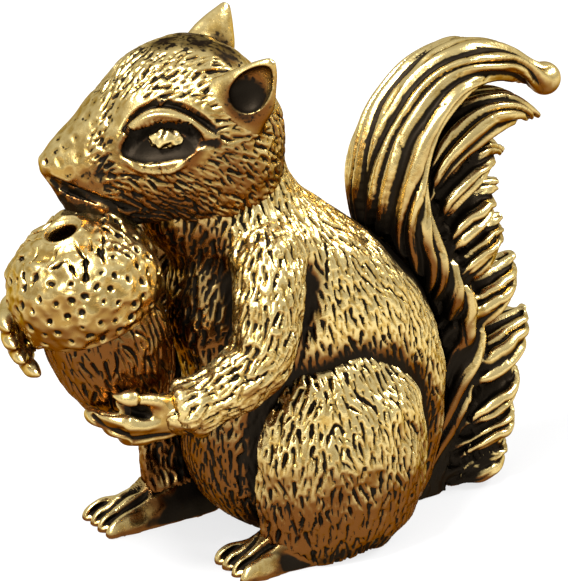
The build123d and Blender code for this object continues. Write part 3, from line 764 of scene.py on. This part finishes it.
    def carve(self, starts, ways, normals, length, width, depth, dice, stray=0.22):
        """Cuts short tapering lines with those middles and ways."""
        cells = Cells(self.places, length * 0.75)
        sunk = np.zeros(len(self.places))
        for place, way, normal in zip(starts, ways, normals):
            turn = dice.normal(0, stray)
            way = way * math.cos(turn) + np.cross(normal, way) * math.sin(turn)
            side = np.cross(normal, way)
            long = length * dice.uniform(0.6, 1.25)
            wide = width * dice.uniform(0.75, 1.25)
            bend = dice.normal(0, 0.10)
            deep = depth * dice.uniform(0.65, 1.2)
            near = cells.near(place)
            off = self.places[near] - place
            ahead, aside, above = off @ way, off @ side, off @ normal
            share = ahead / long + 0.5
            half = wide * (1.15 - 0.45 * share)
            across = (aside - bend * ahead**2) / half
            hit = (share > 0) & (share < 1) & (abs(across) < 1) & (abs(above) < 0.7)
            share, across = share[hit], across[hit]
            ends = np.minimum(share / 0.15, 1) * np.minimum((1 - share) / 0.55, 1)
            sink = deep * (1 - across**2) ** 1.5 * ends**0.7
            sunk[near[hit]] = np.maximum(sunk[near[hit]], sink)
        self.push(-sunk)
        self.cut = np.maximum(self.cut, step(0.40, 0.95, sunk / depth))

    def hair(self, ways, bare, scale, dice, passes=((1.0, 1.0, 1.0), (0.5, 0.72, 0.5))):
        """Combs the surface: main cuts, then fine ones between them."""
        sizes = tooling()
        for length, gap, depth in passes:
            apart = sizes.hair_length * length * 0.8 * scale
            kept, normals, lines = self.scatter(
                ways, bare, apart, sizes.hair_gap * gap * scale, dice
            )
            if len(kept):
                long = sizes.hair_length * length * scale
                wide = sizes.hair_width * scale * (0.6 + 0.4 * depth)
                deep = sizes.hair_depth * depth * scale
                self.carve(
                    self.places[kept], lines[kept], normals[kept], long, wide, deep, dice
                )

    def comb(self, marks, bare, scale, dice):
        """Cuts hair that lies as the marks say."""
        self.hair(lay(self.places, marks), bare, scale, dice)

    def finish(self, slot, finish, kind="casting"):
        """Makes the object, with what the finish needs at each point."""
        name = f"{self.node}_{kind}"
        self.places[:, 2] = np.maximum(self.places[:, 2], 0)
        normals = self.normals()
        sunk = []
        for times, depth in ((HOLLOW_TIMES, HOLLOW_DEPTH), (VALLEY_TIMES, VALLEY_DEPTH)):
            below = ((self.relaxed(self.places, times) - self.places) * normals).sum(axis=1)
            sunk.append(np.clip(below / depth, -1, 1))
        mesh = bpy.data.meshes.new(name)
        mesh.vertices.add(len(self.places))
        mesh.vertices.foreach_set("co", (self.places * MM).ravel())
        mesh.loops.add(self.faces.size)
        mesh.loops.foreach_set("vertex_index", self.faces.ravel().astype(np.int32))
        mesh.polygons.add(len(self.faces))
        mesh.polygons.foreach_set("loop_start", np.arange(0, self.faces.size, 4, dtype=np.int32))
        mesh.update(calc_edges=True)
        mesh.validate()
        mesh.shade_smooth()
        for title, values in (
            ("cut", self.cut),
            ("hollow", sunk[0]),
            ("valley", sunk[1]),
            # shelter: painted shade in recesses and near other castings, with the patina of lines
            # and spots
            ("shelter", CROWDING.at(self.places, normals) + self.patina_and_shade),
        ):
            layer = mesh.attributes.new(title, "FLOAT", "POINT")
            layer.data.foreach_set("value", values.astype(np.float32))
        piece = bpy.data.objects.new(name, mesh)
        bpy.context.scene.collection.objects.link(piece)
        mesh.materials.append(finish)
        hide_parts(self.node)
        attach(piece, "root")


def lay(places, marks):
    """The way the hair lies at each place, blended between marks."""
    total = np.zeros_like(places)
    for spot, way in marks:
        gap = ((places - spot) ** 2).sum(axis=1, keepdims=True) + 1.0
        total += unit(np.array(way, float)) / gap**2
    return total


def on_side(table, side):
    """Marks or bare spots moved to that side."""
    flip = SIDES[side]
    return [
        (np.array(spot) * flip, np.array(rest) * flip if np.ndim(rest) else rest)
        for spot, rest in table
    ]


def both_sides(table):
    """Marks on the left side and the same on the right."""
    return on_side(table, "left") + on_side(table, "right")


def in_head(points, side):
    """Places from (side, ahead, rise) measured from the middle of the skull."""
    return HEAD_MIDDLE + (np.array(points, float) * SIDES[side]) @ HEAD_WAYS


def on_foot(points, side):
    """Places from (sideways, ahead, height) measured from a heel."""
    heel, turn = HEELS[side]
    turn = math.radians(turn)
    aside, ahead = math.cos(turn), math.sin(turn)
    ways = np.array(((aside, ahead, 0), (ahead, -aside, 0), (0, 0, 1)))
    return np.array(heel) + np.array(points, float) @ ways


def on_face(spots):
    """Spots of the face on both of its sides."""
    return [(in_head(spot, side), *rest) for side in SIDES for spot, *rest in spots]


# The crowding paints shade into recesses, through the shelter attribute
CROWDING = Crowding()


class Value:
    """A number that varies over a surface, for use in sums."""

    def __init__(self, recipe, socket):
        self.recipe, self.socket = recipe, socket

    def math(self, operation, first, second):
        """One Math node on two values."""
        return self.recipe.value(
            "ShaderNodeMath", {"operation": operation}, {0: first, 1: second}
        )

    def __add__(self, other):
        return self.math("ADD", self, other)

    __radd__ = __add__

    def __sub__(self, other):
        return self.math("SUBTRACT", self, other)

    def __rsub__(self, other):
        return self.math("SUBTRACT", other, self)

    def __mul__(self, other):
        return self.math("MULTIPLY", self, other)

    __rmul__ = __mul__

    def rising(self, low, high):
        """Rises smoothly from 0 at low to 1 at high."""
        return self.recipe.value(
            "ShaderNodeMapRange",
            {"interpolation_type": "SMOOTHSTEP", "clamp": True},
            {"Value": self, "From Min": low, "From Max": high},
        )


class Recipe:
    """A material and its nodes."""

    def __init__(self, name):
        self.material = bpy.data.materials.new(name)
        self.material.use_nodes = True
        self.tree = self.material.node_tree
        self.shader = self.tree.nodes["Principled BSDF"]

    def node(self, kind, settings=None, inputs=None):
        """Adds a node, sets it, then fills its sockets with values or links."""
        node = self.tree.nodes.new(kind)
        for name, setting in (settings or {}).items():
            setattr(node, name, setting)
        self.fill(node, inputs or {})
        return node

    def fill(self, node, inputs):
        """Sets or links a node's sockets."""
        for name, item in inputs.items():
            socket = node.inputs[name]
            if isinstance(item, Value):
                item = item.socket
            if isinstance(item, bpy.types.NodeSocket):
                self.tree.links.new(item, socket)
            else:
                socket.default_value = item

    def value(self, kind, settings, inputs, output=0):
        """A node's output as a Value."""
        return Value(self, self.node(kind, settings, inputs).outputs[output])

    def painted(self, title):
        """A value stored at the points of the surface."""
        return self.value("ShaderNodeAttribute", {"attribute_name": title}, {}, "Fac")

    def mottle(self, size, detail=3.0):
        """Uneven patches about that many millimetres across."""
        place = self.node("ShaderNodeTexCoord").outputs["Object"]
        return self.value(
            "ShaderNodeTexNoise", {}, {"Vector": place, "Scale": 1 / (size * MM), "Detail": detail},
            "Fac",
        )

    def mixed(self, share, first, second):
        """A colour between two colours."""
        mix = self.node("ShaderNodeMix", {"data_type": "RGBA"}, {0: share})
        for name, item in ((6, first), (7, second)):
            if not isinstance(item, bpy.types.NodeSocket):
                item = (*item, 1.0)
            self.fill(mix, {name: item})
        return mix.outputs[2]


def brass(name, wear=0.0, shade_brown=0.0, dark=0.0, below=0.0, rough=0.35, grime=1.0, fleck=0.0):
    """Polished brass, brown with painted shade on its lower sides, and black in its cuts.

    wear adds pale polish, the shade brown and dark add their colours, and below is the height in
    millimetres under which the painted shade deepens. rough is how uneven the patina is, grime
    how much of it the hollows hold, and fleck how much lies in small specks.
    """
    colours = bpy.context.scene.squirrel_finish
    recipe = Recipe(name)
    cut, hollow, valley, shelter = (
        recipe.painted(title) for title in ("cut", "hollow", "valley", "shelter")
    )
    normal = recipe.node("ShaderNodeNewGeometry").outputs["Normal"]
    apart = recipe.node("ShaderNodeSeparateXYZ", {}, {0: normal})
    upward = Value(recipe, apart.outputs["Z"])
    broad, middle, fine = recipe.mottle(3.2), recipe.mottle(0.9), recipe.mottle(0.28, 2.0)
    # Painted shade: more shade brown towards the floor, under the height below
    if below:
        place = recipe.node("ShaderNodeTexCoord").outputs["Object"]
        height = recipe.value("ShaderNodeSeparateXYZ", {}, {0: place}, "Z")
        shade_brown = shade_brown + (1 - height.rising(0, below * MM)) * 1.05
    patina_and_shade = (
        # Black patina in the cuts, hollows and valleys, and painted shade from shelter in recesses
        cut * 0.76 + (hollow * 0.38 + valley * 0.30) * grime + shelter * 0.72
        + (middle - 0.5) * rough + (fine - 0.5) * 0.25 + dark
        + recipe.mottle(0.36).rising(0.50, 0.70) * fleck
    ).rising(0.36, 0.84)
    # Painted light and shade: gold on upper sides, shade brown facing down and in recesses, random
    # tone
    lit = (upward + 0.30 - shelter * 0.75 + (broad - 0.5) * 0.9 - shade_brown).rising(-0.60, 0.65)
    # Pale wear on raised places, mixed in only where lit: partly wear, partly a painted highlight
    worn = (middle * 0.7 + fine * 0.4 - hollow * 0.5 + upward * 0.35 + wear).rising(0.50, 1.0)
    metal = recipe.mixed(lit, colours.shade_brown, colours.gold)
    metal = recipe.mixed(worn * lit, metal, colours.pale)
    skin = recipe.mixed(patina_and_shade, metal, colours.black)
    bump = recipe.node(
        "ShaderNodeBump", {},
        {"Strength": 0.25, "Distance": 0.00008, "Height": fine + recipe.mottle(0.12, 2.0) * 0.6},
    )
    recipe.fill(
        recipe.shader,
        {
            "Base Color": skin,
            "Metallic": 1.0,
            "Specular Tint": (*EDGE_TINT, 1.0),
            "Roughness": 0.26 + patina_and_shade * 0.30 + (middle - 0.5) * 0.16,
            "Normal": bump.outputs["Normal"],
        },
    )
    return recipe.material


def both(part, pitch):
    """A blank of that part for each side, with its number and side."""
    for number, side in enumerate(SIDES):
        yield number, side, Skin.of_node(f"{side}_{part}", pitch)


def dice_for(number):
    """The same chances on every run, but other ones for each casting."""
    return np.random.default_rng(number)


class OBJECT_OT_squirrel_torso(bpy.types.Operator):
    """Tool the torso's hair"""

    bl_idname = "object.squirrel_torso"
    bl_label = "Torso"

    def execute(self, context):
        skin = Skin.of_node("torso", tooling().pitch * LARGE)
        skin.relax(8)
        for middle, radii, rise in CHEST_LUMPS:
            skin.swell(middle, radii, rise)
        skin.weld("head", 5.0, 1.2)
        for side in SIDES:
            skin.weld(f"{side}_arm", 2.2, 0.7, floor=21.5)
            skin.undercut(f"{side}_arm", 3.2, 1.1, 0.70, (0, 0, 16), ceiling=25.0)
            skin.undercut(f"{side}_haunch", 2.6, 0.95, 0.8, (0, 2, 9))
        skin.undercut("tail", 2.4, 1.0, 0.2, (0, 2, 14))
        skin.relax(4)
        skin.wobble(2.4, 0.18, 1)
        base = skin.places
        skin.comb(both_sides(HAIR_MARKS["torso"]), (), 1.0, dice_for(1))
        skin.calm(base, 0.8 * step(0.5, 0.95, skin.patina_and_shade))
        # Painted shade on the chest and between the legs
        skin.blacken(BODY_SHADE)
        skin.finish("fur_brass", brass("torso_brass", below=17.0))
        return {"FINISHED"}


class OBJECT_OT_squirrel_haunches(bpy.types.Operator):
    """Tool both haunches"""

    bl_idname = "object.squirrel_haunches"
    bl_label = "Haunches"

    def execute(self, context):
        finish = brass("haunch_brass", below=14.0)
        for number, side, skin in both("haunch", tooling().pitch):
            skin.relax(8)
            skin.weld(f"{side}_foot", 1.6, 0.4)
            skin.relax(3)
            skin.wobble(2.2, 0.36, 2 + number)
            skin.comb(on_side(HAIR_MARKS["haunch"], side), (), 1.05, dice_for(20 + number))
            skin.finish("fur_brass", finish)
        return {"FINISHED"}


class OBJECT_OT_squirrel_head(bpy.types.Operator):
    """Tool the head"""

    bl_idname = "object.squirrel_head"
    bl_label = "Head"

    def execute(self, context):
        skin = Skin.of_node("head", tooling().fine_pitch)
        skin.relax(6)
        skin.weld("torso", 5.0, 1.2)
        for side in SIDES:
            skin.weld(f"{side}_ear", 1.3, 0.35)
        skin.weld("acorn_cap", 2.5, 0.7)
        skin.relax(4)
        skin.wobble(1.6, 0.12, 5)
        base = skin.places
        skin.comb(both_sides(HAIR_MARKS["head"]), on_face(BARE_FACE), 0.94, dice_for(5))
        for spot, radius in on_face(BARE_FACE):
            gap = np.linalg.norm(skin.places - spot, axis=1) / radius
            skin.calm(base, step(-1.25, -0.9, -gap))
        snout = in_head((0, 9.6, -1.0), "left")
        starts, normals = skin.spread_over(0.9, dice_for(6), snout, 5.0)
        before = skin.cut.copy()
        skin.punch(starts, normals, 0.45, 0.09, dice_for(7))
        skin.cut = np.maximum(before, 0.35 * skin.cut)
        skin.relax(1)
        for side in SIDES:
            for (width, height, patina_and_shade), points in FACE_LINES:
                skin.line(in_head(points, side), width, height, patina_and_shade)
        # Black eye sockets, and painted shade under the jaw and on the crown
        skin.blacken(on_face(FACE_DARK_SPOTS))
        skin.finish("fur_brass", brass("head_brass", shade_brown=0.46, rough=0.7, fleck=0.60))
        return {"FINISHED"}


class OBJECT_OT_squirrel_eyes(bpy.types.Operator):
    """Make the rough beads in the eye sockets"""

    bl_idname = "object.squirrel_eyes"
    bl_label = "Eyes"

    def execute(self, context):
        finish = brass("eye_brass", wear=0.3, dark=-0.5)
        for number, side, skin in both("eye", EYE_PITCH):
            skin.relax(4)
            skin.wobble(0.55, 0.30, 8 + number)
            skin.finish("eye_brass", finish, "bead")
        return {"FINISHED"}


class OBJECT_OT_squirrel_ears(bpy.types.Operator):
    """Tool both ears"""

    bl_idname = "object.squirrel_ears"
    bl_label = "Ears"

    def execute(self, context):
        finish = brass("ear_brass", shade_brown=0.25, fleck=0.45)
        for number, side, skin in both("ear", EAR_PITCH):
            skin.relax(10)
            root, tip = in_head(((4.9, -1.9, 2.7), (6.7, -4.1, 6.55)), side)
            skin.taper(root, tip, 0.30)
            skin.weld("head", 1.1, 0.3)
            skin.relax(2)
            skin.wobble(1.4, 0.07, 10 + number)
            skin.blacken([(in_head((5.5, -2.4, 3.5), side), 1.9, 1.25)])
            skin.finish("ear_brass", finish)
        return {"FINISHED"}


class OBJECT_OT_squirrel_arms(bpy.types.Operator):
    """Tool both arms"""

    bl_idname = "object.squirrel_arms"
    bl_label = "Arms"

    def execute(self, context):
        finish = brass("arm_brass", shade_brown=0.28)
        for number, side, skin in both("arm", tooling().pitch):
            skin.relax(8)
            skin.weld("torso", 2.2, 0.7, floor=21.5)
            skin.weld(f"{side}_paw", 2.4, 0.9)
            skin.relax(6)
            skin.wobble(1.3, 0.22, 12 + number)
            skin.comb(on_side(HAIR_MARKS["arm"], side), (), 0.95, dice_for(12 + number))
            skin.finish("fur_brass", finish)
        return {"FINISHED"}


class OBJECT_OT_squirrel_paws(bpy.types.Operator):
    """Work the paws round the acorn"""

    bl_idname = "object.squirrel_paws"
    bl_label = "Paws"

    def execute(self, context):
        finish = brass("paw_brass", shade_brown=0.28, grime=1.6)
        for number, side, skin in both("paw", tooling().fine_pitch):
            skin.weld(f"{side}_arm", 2.2, -0.35)
            skin.relax(30)
            skin.wobble(1.1, 0.12, 14 + number)
            for (width, height, patina_and_shade), points in PAW_LINES:
                skin.line(np.array(points) * SIDES[side], width, height, patina_and_shade)
            skin.relax(3)
            skin.finish("paw_brass", finish)
        return {"FINISHED"}


class OBJECT_OT_squirrel_feet(bpy.types.Operator):
    """Work the feet and their toes"""

    bl_idname = "object.squirrel_feet"
    bl_label = "Feet"

    def execute(self, context):
        finish = brass("foot_brass", shade_brown=0.5, dark=0.14, grime=2.2, rough=0.6)
        for number, side, skin in both("foot", tooling().fine_pitch):
            skin.relax(5)
            skin.weld(f"{side}_haunch", 1.4, 0.35)
            skin.wobble(1.3, 0.14, 16 + number)
            for place in (-1, 0, 1):
                groove = np.array(TOE_GROOVE) * (place, 1, 1)
                skin.line(on_foot(groove, side), *TOE_LINE)
            skin.shade(f"{side}_haunch", 2.5, 0.8)
            skin.finish("paw_brass", finish)
        return {"FINISHED"}


class OBJECT_OT_squirrel_tail(bpy.types.Operator):
    """Groove the tail along its locks"""

    bl_idname = "object.squirrel_tail"
    bl_label = "Tail"

    def execute(self, context):
        skin = Skin.of_node("tail", tooling().pitch * LARGE)
        skin.relax(5)
        skin.wobble(2.6, 0.10, 18)
        skin.part_strands()
        skin.shade("torso", 3.0, 0.9)
        skin.finish("tail_brass", brass("tail_brass", shade_brown=0.28))
        return {"FINISHED"}


def round_acorn(places):
    """Distance from the acorn's axis and height above its seam."""
    out = places - ACORN_SEAM
    height = out @ ACORN_AXIS
    return np.linalg.norm(out - height[:, None] * ACORN_AXIS, axis=1), height


class OBJECT_OT_squirrel_acorn(bpy.types.Operator):
    """Punch the acorn's cap and groove its nut"""

    bl_idname = "object.squirrel_acorn"
    bl_label = "Acorn"

    def execute(self, context):
        skin = Skin.of_node("acorn_nut", tooling().fine_pitch)
        skin.relax(6)
        skin.wobble(1.6, 0.12, 20)
        ways = lay(skin.places, ((ACORN_SEAM, -ACORN_AXIS),))
        skin.hair(ways, (), 1.0, dice_for(30), ((1.3, 0.95, 1.0), (0.7, 0.9, 0.5)))
        skin.finish("nut_brass", brass("nut_brass", shade_brown=0.85, dark=0.16))
        profile = np.array(CAP_PROFILE)
        skin = Skin.lathed("acorn_cap", profile, ACORN_SEAM, ACORN_AXIS, CAP_PITCH)
        skin.relax(3)
        radius, height = round_acorn(skin.places)
        outside = (radius > 1.45) & (height > 0.3)
        places = skin.places
        skin.wobble(1.5, 0.30, 21)
        skin.wobble(0.7, 0.12, 22)
        skin.places = np.where(outside[:, None], skin.places, places)
        skin.weld("head", 1.3, 0.5)
        starts, normals = skin.spread_over(0.98, dice_for(22))
        radius, height = round_acorn(starts)
        dents = (radius > 2.9) & (height > 0.5)
        skin.punch(starts[dents], normals[dents], 0.29, 0.26, dice_for(23))
        folds = (radius > 2.2) & (radius < 4.0) & (height > 5.0)
        ways = unit(ACORN_AXIS - normals[folds] * (normals[folds] @ ACORN_AXIS)[:, None])
        skin.carve(starts[folds], ways, normals[folds], 2.2, 0.17, 0.24, dice_for(24), 0.5)
        skin.finish("cap_brass", brass("cap_brass", shade_brown=0.38, rough=0.5, fleck=0.45))
        return {"FINISHED"}


def aimed(name, data, place, back):
    """Adds a lamp or the camera at a place, with its back that way."""
    item = bpy.data.objects.new(name, data)
    item.location = place
    item.rotation_mode = "QUATERNION"
    item.rotation_quaternion = back.to_track_quat("Z", "Y")
    bpy.context.scene.collection.objects.link(item)
    return item


class OBJECT_OT_squirrel_stage(bpy.types.Operator):
    """Set the floor, the lamps, the world and the camera"""

    bl_idname = "object.squirrel_stage"
    bl_label = "Stage"

    def execute(self, context):
        stage = context.scene.squirrel_stage
        bpy.ops.mesh.primitive_circle_add(
            vertices=96, radius=stage.floor_radius, fill_type="NGON", location=(0, 0, 0)
        )
        floor = context.object
        floor.name = "pale_floor"
        floor.data.materials.append(pale("floor_white", FLOOR_SHADE))
        world = bpy.data.worlds.new("studio")
        world.use_nodes = True
        context.scene.world = world
        background = world.node_tree.nodes["Background"]
        background.inputs["Strength"].default_value = SKY_LIGHT
        background.inputs["Color"].default_value = (1, 1, 1, 1)
        turn, rise = stage.azimuth, stage.elevation
        back = Vector(
            (math.sin(turn) * math.cos(rise), -math.cos(turn) * math.cos(rise), math.sin(rise))
        )
        left = Vector((-math.cos(turn), -math.sin(turn), 0))
        up = Vector((0, 0, 1))
        target = Vector(VIEW_TARGET) * MM
        for name, (rises, lefts, backs), size, power in LAMPS:
            way = up * rises + left * lefts + back * backs
            light = bpy.data.lights.new(name, "AREA")
            light.shape = "DISK"
            light.size, light.energy = size, power
            aimed(name, light, target + way.normalized() * LAMP_DISTANCE, way)
        lens = bpy.data.cameras.new("camera")
        lens.lens = stage.lens
        lens.clip_start, lens.clip_end = 0.01, 20
        context.scene.camera = aimed("camera", lens, target + back * stage.distance, back)
        context.scene.view_settings.view_transform = "Standard"
        return {"FINISHED"}


def pale(name, shade):
    """A white floor that keeps the figure's shadow."""
    recipe = Recipe(name)
    path = recipe.node("ShaderNodeLightPath")
    camera, glossy, through = (
        Value(recipe, path.outputs[f"Is {kind} Ray"])
        for kind in ("Camera", "Glossy", "Transmission")
    )
    seen = camera + glossy + through
    recipe.fill(recipe.shader, {"Base Color": (shade, shade, shade, 1), "Roughness": 0.9})
    glow = recipe.node("ShaderNodeEmission", {}, {"Color": (1, 1, 1, 1), "Strength": 1.0})
    mix = recipe.node("ShaderNodeMixShader", {}, {0: seen * FLOOR_GLOW})
    output = recipe.tree.nodes["Material Output"]
    recipe.tree.links.new(recipe.shader.outputs[0], mix.inputs[1])
    recipe.tree.links.new(glow.outputs[0], mix.inputs[2])
    recipe.tree.links.new(mix.outputs[0], output.inputs["Surface"])
    return recipe.material


class VIEW3D_PT_squirrel(bpy.types.Panel):
    """Lists the castings and the stage"""

    bl_label = "Brass Squirrel"
    bl_space_type = "VIEW_3D"
    bl_region_type = "UI"
    bl_category = "Squirrel"

    def draw(self, context):
        layout = self.layout
        for group in (
            context.scene.squirrel_tooling,
            context.scene.squirrel_finish,
            context.scene.squirrel_stage,
        ):
            for name in group.__annotations__:
                layout.prop(group, name)
        for operator in OPERATORS:
            layout.operator(operator.bl_idname)


OPERATORS = (
    OBJECT_OT_squirrel_torso,
    OBJECT_OT_squirrel_haunches,
    OBJECT_OT_squirrel_feet,
    OBJECT_OT_squirrel_head,
    OBJECT_OT_squirrel_eyes,
    OBJECT_OT_squirrel_ears,
    OBJECT_OT_squirrel_tail,
    OBJECT_OT_squirrel_acorn,
    OBJECT_OT_squirrel_arms,
    OBJECT_OT_squirrel_paws,
    OBJECT_OT_squirrel_stage,
)
GROUPS = {
    "squirrel_tooling": SquirrelTooling,
    "squirrel_finish": SquirrelFinish,
    "squirrel_stage": SquirrelStage,
}


def register():
    """Adds the settings, the operators and the panel."""
    for name, group in GROUPS.items():
        bpy.utils.register_class(group)
        setattr(bpy.types.Scene, name, bpy.props.PointerProperty(type=group))
    for operator in OPERATORS:
        bpy.utils.register_class(operator)
    bpy.utils.register_class(VIEW3D_PT_squirrel)


def unregister():
    """Takes them away again."""
    bpy.utils.unregister_class(VIEW3D_PT_squirrel)
    for operator in reversed(OPERATORS):
        bpy.utils.unregister_class(operator)
    for name, group in GROUPS.items():
        delattr(bpy.types.Scene, name)
        bpy.utils.unregister_class(group)


def main():
    """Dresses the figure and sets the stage."""
    register()
    for operator in OPERATORS:
        group, name = operator.bl_idname.split(".")
        getattr(getattr(bpy.ops, group), name)()


if __name__ == "__main__":
    main()
